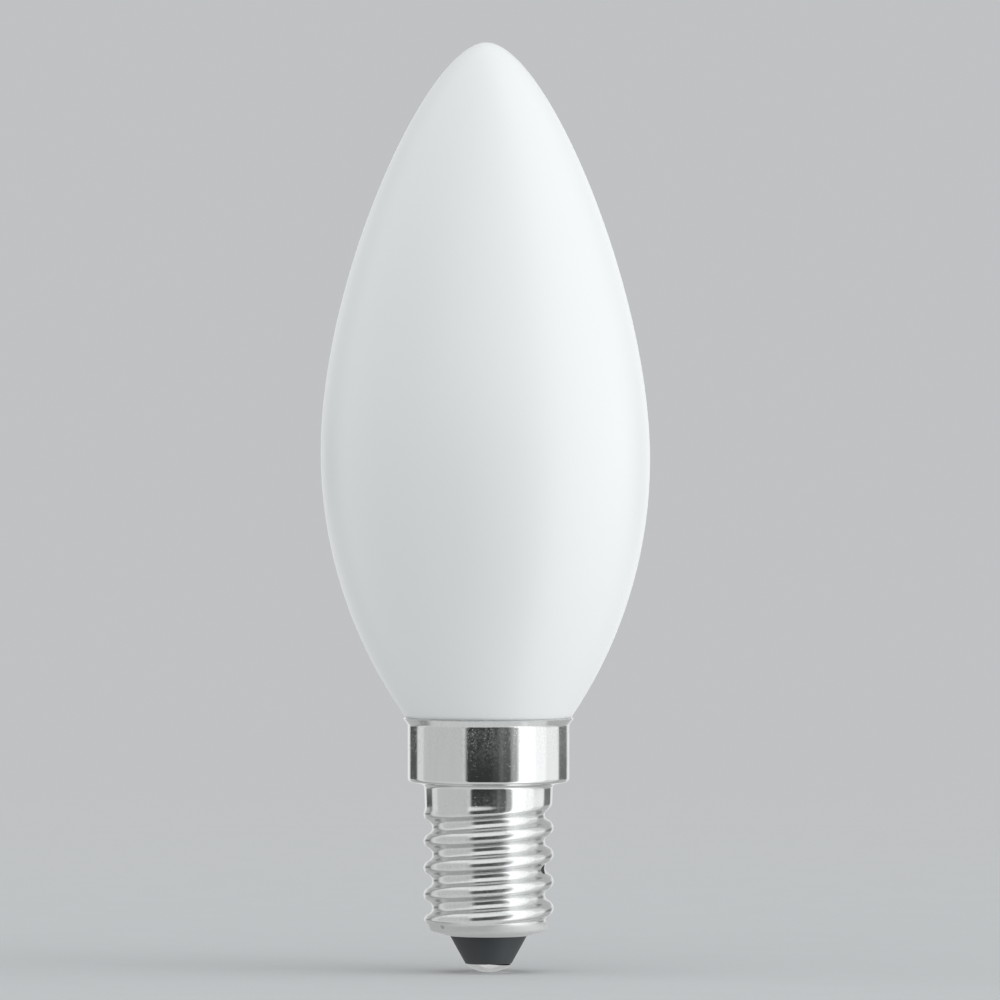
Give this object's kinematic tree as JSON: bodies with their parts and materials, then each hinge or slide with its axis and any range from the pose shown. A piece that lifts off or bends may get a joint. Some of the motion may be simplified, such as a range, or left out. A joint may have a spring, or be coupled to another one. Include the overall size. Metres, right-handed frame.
{
  "type": "light bulb",
  "caption": "Candle-shaped opal light bulb with a small right-hand screw cap, a black insulator and a domed centre contact; screws into a lamp holder.",
  "frame": {"origin": "the lowest point of the centre contact, on the lamp's axis", "axes": "+Z along the axis from the contact up to the tip of the envelope; +X to the right and -Y towards the viewer of the picture"},
  "size_m": [0.0346, 0.0346, 0.0979],
  "materials": {
    "opal_glass": "glossy milky white, opaque",
    "cap_metal": "bright plate with fine specks",
    "insulator_black": "glossy black, opaque",
    "contact_metal": "satin tinned dome"
  },
  "bodies": {
    "root": {"glass_envelope": "opal_glass", "screw_cap": "cap_metal", "insulator": "insulator_black", "contact_rivet": "contact_metal"}
  },
  "joints": []
}
